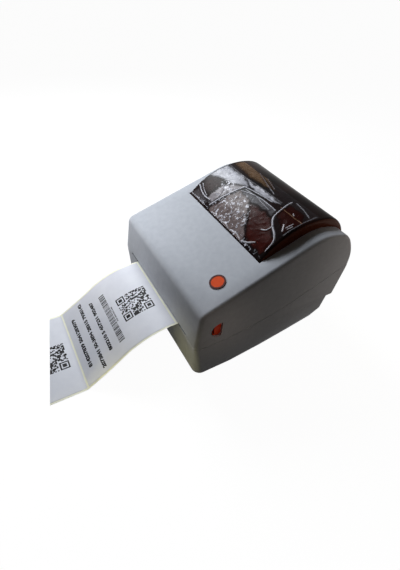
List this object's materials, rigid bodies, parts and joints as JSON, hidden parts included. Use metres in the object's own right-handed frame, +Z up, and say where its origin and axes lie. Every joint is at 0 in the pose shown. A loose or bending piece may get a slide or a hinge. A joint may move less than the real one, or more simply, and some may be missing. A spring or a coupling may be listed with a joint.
{
  "type": "label printer",
  "caption": "Desktop label printer with a hinged wedge-shaped lid, smoked window, feed button, side latch tabs, label roll inside and a strip of labels leaving the front slot.",
  "frame": {"origin": "on the table, under the middle of the whole object with its label strip", "axes": "+Z up, +Y from the paper slot to the back, +X to the right as seen from the front"},
  "size_m": [0.178, 0.3204, 0.1452],
  "materials": {
    "case_grey": "fine matte moulded plastic",
    "window_smoke": "polished smoked plastic",
    "film_clear": "clear wrinkled film",
    "orange_plastic": "satin orange plastic",
    "bezel_dark": "dark satin plastic",
    "black_plastic": "matte black plastic",
    "rubber": "matte rubber",
    "steel": "ground steel",
    "aluminium": "milled aluminium",
    "brass": "turned brass",
    "board": "solder resist",
    "white_plastic": "natural acetal",
    "ceramic": "glazed ceramic",
    "label_paper": "coated thermal paper",
    "liner_paper": "glassine liner",
    "cardboard": "wound board"
  },
  "bodies": {
    "base": {"lower_case": "case_grey", "front_panel": "case_grey", "rubber_feet": "rubber", "case_screws": "steel", "hinge_pins": "steel", "catch_pins": "steel", "tear_bar": "steel", "chassis": "black_plastic", "platen_bushes": "brass", "feed_motor": "steel", "idler_stud": "steel", "gap_sensor": "black_plastic", "media_tray": "black_plastic", "main_board": "board", "socket_board": "board", "usb_socket": "steel", "power_jack": "black_plastic", "switch_body": "black_plastic", "label_liner": "liner_paper", "labels": "label_paper"},
    "lid": {"lid_shell": "case_grey", "window": "window_smoke", "protective_film": "film_clear", "button_bezel": "bezel_dark", "button_board": "board", "lid_frame": "black_plastic", "head_shaft": "steel", "head_springs": "steel", "latch_springs": "steel"},
    "feed_button": {"feed_button": "orange_plastic"},
    "latch": {"latch_tabs": "orange_plastic", "latch_levers": "black_plastic", "latch_shaft": "steel"},
    "head": {"head_carrier": "aluminium", "thermal_strip": "ceramic"},
    "platen": {"platen_shaft": "steel", "platen_roller": "rubber", "platen_gear": "white_plastic"},
    "idler": {"idler_gear": "white_plastic"},
    "motor_rotor": {"motor_pinion": "steel"},
    "roll": {"label_roll": "label_paper", "roll_core": "cardboard"},
    "holder_right": {"roll_holder_right": "black_plastic"},
    "holder_left": {"roll_holder_left": "black_plastic"},
    "centring": {"centring_pinion": "white_plastic"},
    "rocker": {"power_rocker": "black_plastic"}
  },
  "joints": [
    {"name": "lid_hinge", "type": "hinge", "parent": "base", "child": "lid", "pos_m": [0, 0.15617, 0.08809], "axis": [-1, 0, 0], "range_deg": [0, 85]},
    {"name": "feed_press", "type": "slide", "parent": "lid", "child": "feed_button", "axis": [0, 0.3527, -0.9358], "range_m": [0, 0.0012], "stiffness_N_per_m": 400},
    {"name": "latch_pull", "type": "hinge", "parent": "lid", "child": "latch", "pos_m": [0, -0.00423, 0.078], "axis": [-1, 0, 0], "range_deg": [0, 8], "stiffness_Nm_per_rad": 0.05},
    {"name": "head_float", "type": "hinge", "parent": "lid", "child": "head", "pos_m": [0, 0.01577, 0.06], "axis": [-1, 0, 0], "range_deg": [0, 3], "stiffness_Nm_per_rad": 5, "deforming": ["head_springs"]},
    {"name": "roll_spin", "type": "hinge", "parent": "base", "child": "roll", "pos_m": [0, 0.09177, 0.074], "axis": [1, 0, 0], "continuous": true},
    {"name": "platen_spin", "type": "hinge", "parent": "base", "child": "platen", "pos_m": [0, -0.01823, 0.0387], "axis": [1, 0, 0], "continuous": true},
    {"name": "idler_spin", "type": "hinge", "parent": "base", "child": "idler", "pos_m": [0, -0.0073, 0.02568], "axis": [1, 0, 0], "continuous": true},
    {"name": "rotor_spin", "type": "hinge", "parent": "base", "child": "motor_rotor", "pos_m": [0, 0.00629, 0.01934], "axis": [1, 0, 0], "continuous": true},
    {"name": "holder_right_slide", "type": "slide", "parent": "base", "child": "holder_right", "axis": [1, 0, 0], "range_m": [0, 0.009]},
    {"name": "holder_left_slide", "type": "slide", "parent": "base", "child": "holder_left", "axis": [-1, 0, 0], "range_m": [0, 0.009]},
    {"name": "centring_spin", "type": "hinge", "parent": "base", "child": "centring", "pos_m": [0, 0.09177, 0.0135], "axis": [0, 0, -1], "range_deg": [0, 85.94]},
    {"name": "rocker_tilt", "type": "hinge", "parent": "base", "child": "rocker", "pos_m": [-0.04, 0.14134, 0.0225], "axis": [-1, 0, 0], "range_deg": [0, 18]}
  ],
  "couplings": [
    {"joint": "platen_spin", "follows": "roll_spin", "ratio": -6},
    {"joint": "idler_spin", "follows": "roll_spin", "ratio": 8.5714},
    {"joint": "rotor_spin", "follows": "roll_spin", "ratio": -17.143},
    {"joint": "holder_left_slide", "follows": "holder_right_slide", "ratio": 1},
    {"joint": "centring_spin", "follows": "holder_right_slide", "rad_per_m": 166.67}
  ]
}
